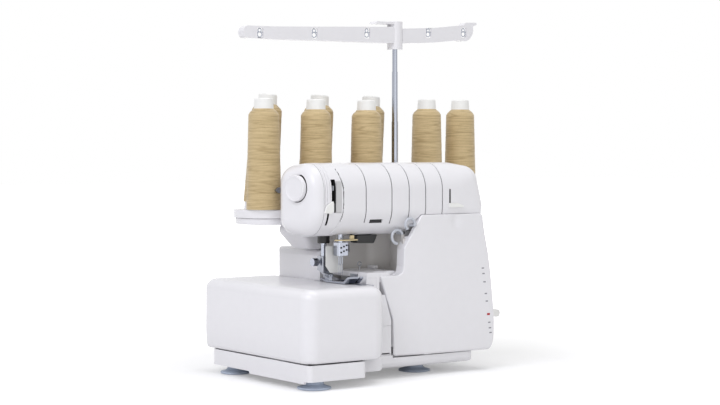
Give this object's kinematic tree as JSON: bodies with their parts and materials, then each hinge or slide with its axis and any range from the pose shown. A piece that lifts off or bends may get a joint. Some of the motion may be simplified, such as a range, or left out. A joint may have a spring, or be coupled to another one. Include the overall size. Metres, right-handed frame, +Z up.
{
  "type": "serger overlock machine",
  "caption": "Table-top overlock sewing machine with a lift-off cloth box, fold-down looper cover, tray of thread cones and telescopic thread guide.",
  "frame": {"origin": "on the table, under the middle of the machine's width and depth", "axes": "+X to the operator's right, along the head and the spool tray; +Y to the back; +Z up"},
  "size_m": [0.436, 0.274, 0.513],
  "materials": {
    "white_abs": "moulded ABS, glossy white",
    "soft_white_abs": "moulded ABS, satin white",
    "grey_abs": "moulded ABS, fine grain, warm grey",
    "black_plastic": "moulded nylon, satin black",
    "cast_aluminium": "die cast, as cast",
    "chromed_steel": "polished chrome plate",
    "steel": "ground steel",
    "brass": "stamped brass, satin",
    "motor_paint": "black enamel",
    "belt_rubber": "moulded neoprene",
    "foot_rubber": "moulded elastomer, pale blue-grey",
    "thread": "cross-wound spun polyester thread",
    "core_plastic": "moulded polypropylene, white"
  },
  "bodies": {
    "machine_body": {"base_pan": "white_abs", "feet": "foot_rubber", "machine_frame": "cast_aluminium", "rear_cover": "white_abs", "side_cover": "white_abs", "neck_cover": "white_abs", "arm_cover": "white_abs", "face_cover": "white_abs", "throat_panel": "grey_abs", "looper_panel": "soft_white_abs", "front_panel": "white_abs", "needle_plate": "steel", "knife_deck": "white_abs", "spool_tray": "white_abs", "tray_bracket": "white_abs", "spool_pins": "soft_white_abs", "cone_cores": "core_plastic", "thread_cones": "thread", "pole_lower": "chromed_steel", "presser_bush": "black_plastic", "finger_guard": "white_abs", "brass_guide": "brass", "black_guide": "black_plastic", "thread_hooks": "soft_white_abs", "wire_guide": "steel", "takeup_plate": "grey_abs", "drive_belt": "belt_rubber", "motor": "motor_paint", "power_inlet": "black_plastic"},
    "cloth_box": {"cloth_box": "white_abs"},
    "cover_slide": {"cover_hinge": "steel"},
    "looper_cover": {"looper_cover": "white_abs"},
    "pole_middle": {"pole_middle": "chromed_steel"},
    "thread_guide": {"pole_upper": "chromed_steel", "guide_bar": "white_abs", "guide_eyelets": "chromed_steel"},
    "presser": {"presser_bar": "steel", "foot_holder": "chromed_steel", "thumb_screw": "black_plastic", "foot_pin": "steel"},
    "presser_foot": {"presser_foot": "chromed_steel"},
    "presser_lifter": {"presser_lifter": "chromed_steel"},
    "needle_bar": {"needle_bar": "steel", "needle_clamp": "chromed_steel", "needle_screws": "black_plastic", "needles": "steel"},
    "pressure_knob": {"pressure_knob": "white_abs"},
    "takeup_lever": {"takeup_lever": "steel"},
    "threader_lever": {"threader_lever": "white_abs"},
    "mode_lever": {"mode_lever": "white_abs"},
    "main_shaft": {"main_shaft": "steel", "handwheel": "white_abs"},
    "motor_pulley": {"motor_pulley": "steel"},
    "lower_looper": {"lower_looper": "steel"},
    "upper_looper": {"upper_looper": "steel"},
    "upper_knife": {"upper_knife": "steel"},
    "feed_dogs": {"feed_dogs": "steel"},
    "length_dial": {"length_dial": "soft_white_abs"},
    "feed_lever": {"feed_lever": "white_abs"},
    "power_switch": {"power_switch": "black_plastic"}
  },
  "joints": [
    {"name": "cloth_box_slide", "type": "slide", "parent": "machine_body", "child": "cloth_box", "axis": [-1, 0, 0], "range_m": [0, 0.12]},
    {"name": "cover_release", "type": "slide", "parent": "machine_body", "child": "cover_slide", "axis": [1, 0, 0], "range_m": [0, 0.005]},
    {"name": "cover_swing", "type": "hinge", "parent": "cover_slide", "child": "looper_cover", "pos_m": [0.046, -0.0928, 0.0338], "axis": [1, 0, 0], "range_deg": [0, 80]},
    {"name": "pole_middle_slide", "type": "slide", "parent": "machine_body", "child": "pole_middle", "axis": [0, 0, 1], "range_m": [-0.032, 0]},
    {"name": "pole_upper_slide", "type": "slide", "parent": "pole_middle", "child": "thread_guide", "axis": [0, 0, 1], "range_m": [-0.028, 0]},
    {"name": "lifter_turn", "type": "hinge", "parent": "machine_body", "child": "presser_lifter", "pos_m": [-0.096, -0.005, 0.262], "axis": [0, 1, 0], "range_deg": [0, 45]},
    {"name": "presser_lift", "type": "slide", "parent": "machine_body", "child": "presser", "axis": [0, 0, 1], "range_m": [0, 0.007]},
    {"name": "foot_tilt", "type": "hinge", "parent": "presser", "child": "presser_foot", "pos_m": [-0.114, -0.035, 0.144], "axis": [1, 0, 0], "range_deg": [-8, 0]},
    {"name": "needle_bar_slide", "type": "slide", "parent": "machine_body", "child": "needle_bar", "axis": [0, 0, 1], "range_m": [-0.024, 0.004]},
    {"name": "knob_turn", "type": "hinge", "parent": "machine_body", "child": "pressure_knob", "pos_m": [-0.1834, -0.061, 0.266], "axis": [-0.9816, -0.1908, 0], "range_deg": [-150, 150]},
    {"name": "takeup_swing", "type": "hinge", "parent": "machine_body", "child": "takeup_lever", "pos_m": [-0.144, -0.049, 0.25], "axis": [1, 0, 0], "range_deg": [-10, 10]},
    {"name": "threader_press", "type": "slide", "parent": "machine_body", "child": "threader_lever", "axis": [0, 0, -1], "range_m": [0, 0.012], "stiffness_N_per_m": 40},
    {"name": "mode_slide", "type": "slide", "parent": "machine_body", "child": "mode_lever", "axis": [0, 0, 1], "range_m": [0, 0.018]},
    {"name": "shaft_turn", "type": "hinge", "parent": "machine_body", "child": "main_shaft", "pos_m": [0.026, 0.03, 0.106], "axis": [1, 0, 0], "continuous": true},
    {"name": "motor_turn", "type": "hinge", "parent": "machine_body", "child": "motor_pulley", "pos_m": [0.086, 0.071, 0.072], "axis": [1, 0, 0], "continuous": true},
    {"name": "lower_looper_swing", "type": "hinge", "parent": "machine_body", "child": "lower_looper", "pos_m": [-0.064, -0.035, 0.066], "axis": [0, 1, 0], "range_deg": [-8, 8]},
    {"name": "upper_looper_swing", "type": "hinge", "parent": "machine_body", "child": "upper_looper", "pos_m": [-0.038, -0.035, 0.078], "axis": [0, 1, 0], "range_deg": [-8, 8]},
    {"name": "knife_stroke", "type": "slide", "parent": "machine_body", "child": "upper_knife", "axis": [0, 0, 1], "range_m": [-0.004, 0.001]},
    {"name": "feed_stroke", "type": "slide", "parent": "machine_body", "child": "feed_dogs", "axis": [0, 1, 0], "range_m": [-0.002, 0.002]},
    {"name": "dial_turn", "type": "hinge", "parent": "machine_body", "child": "length_dial", "pos_m": [0.135, -0.023, 0.158], "axis": [1, 0, 0], "range_deg": [-135, 135]},
    {"name": "feed_lever_swing", "type": "hinge", "parent": "machine_body", "child": "feed_lever", "pos_m": [0.1086, -0.067, 0.086], "axis": [0, 1, 0], "range_deg": [-20, 20]},
    {"name": "switch_rock", "type": "hinge", "parent": "machine_body", "child": "power_switch", "pos_m": [0.13, 0.081, 0.074], "axis": [0, 1, 0], "range_deg": [-10, 0]}
  ],
  "couplings": [
    {"joint": "presser_lift", "follows": "lifter_turn", "m_per_rad": 0.0089},
    {"joint": "motor_turn", "follows": "shaft_turn", "ratio": 2.4444},
    {"joint": "upper_looper_swing", "follows": "lower_looper_swing", "ratio": -1}
  ]
}
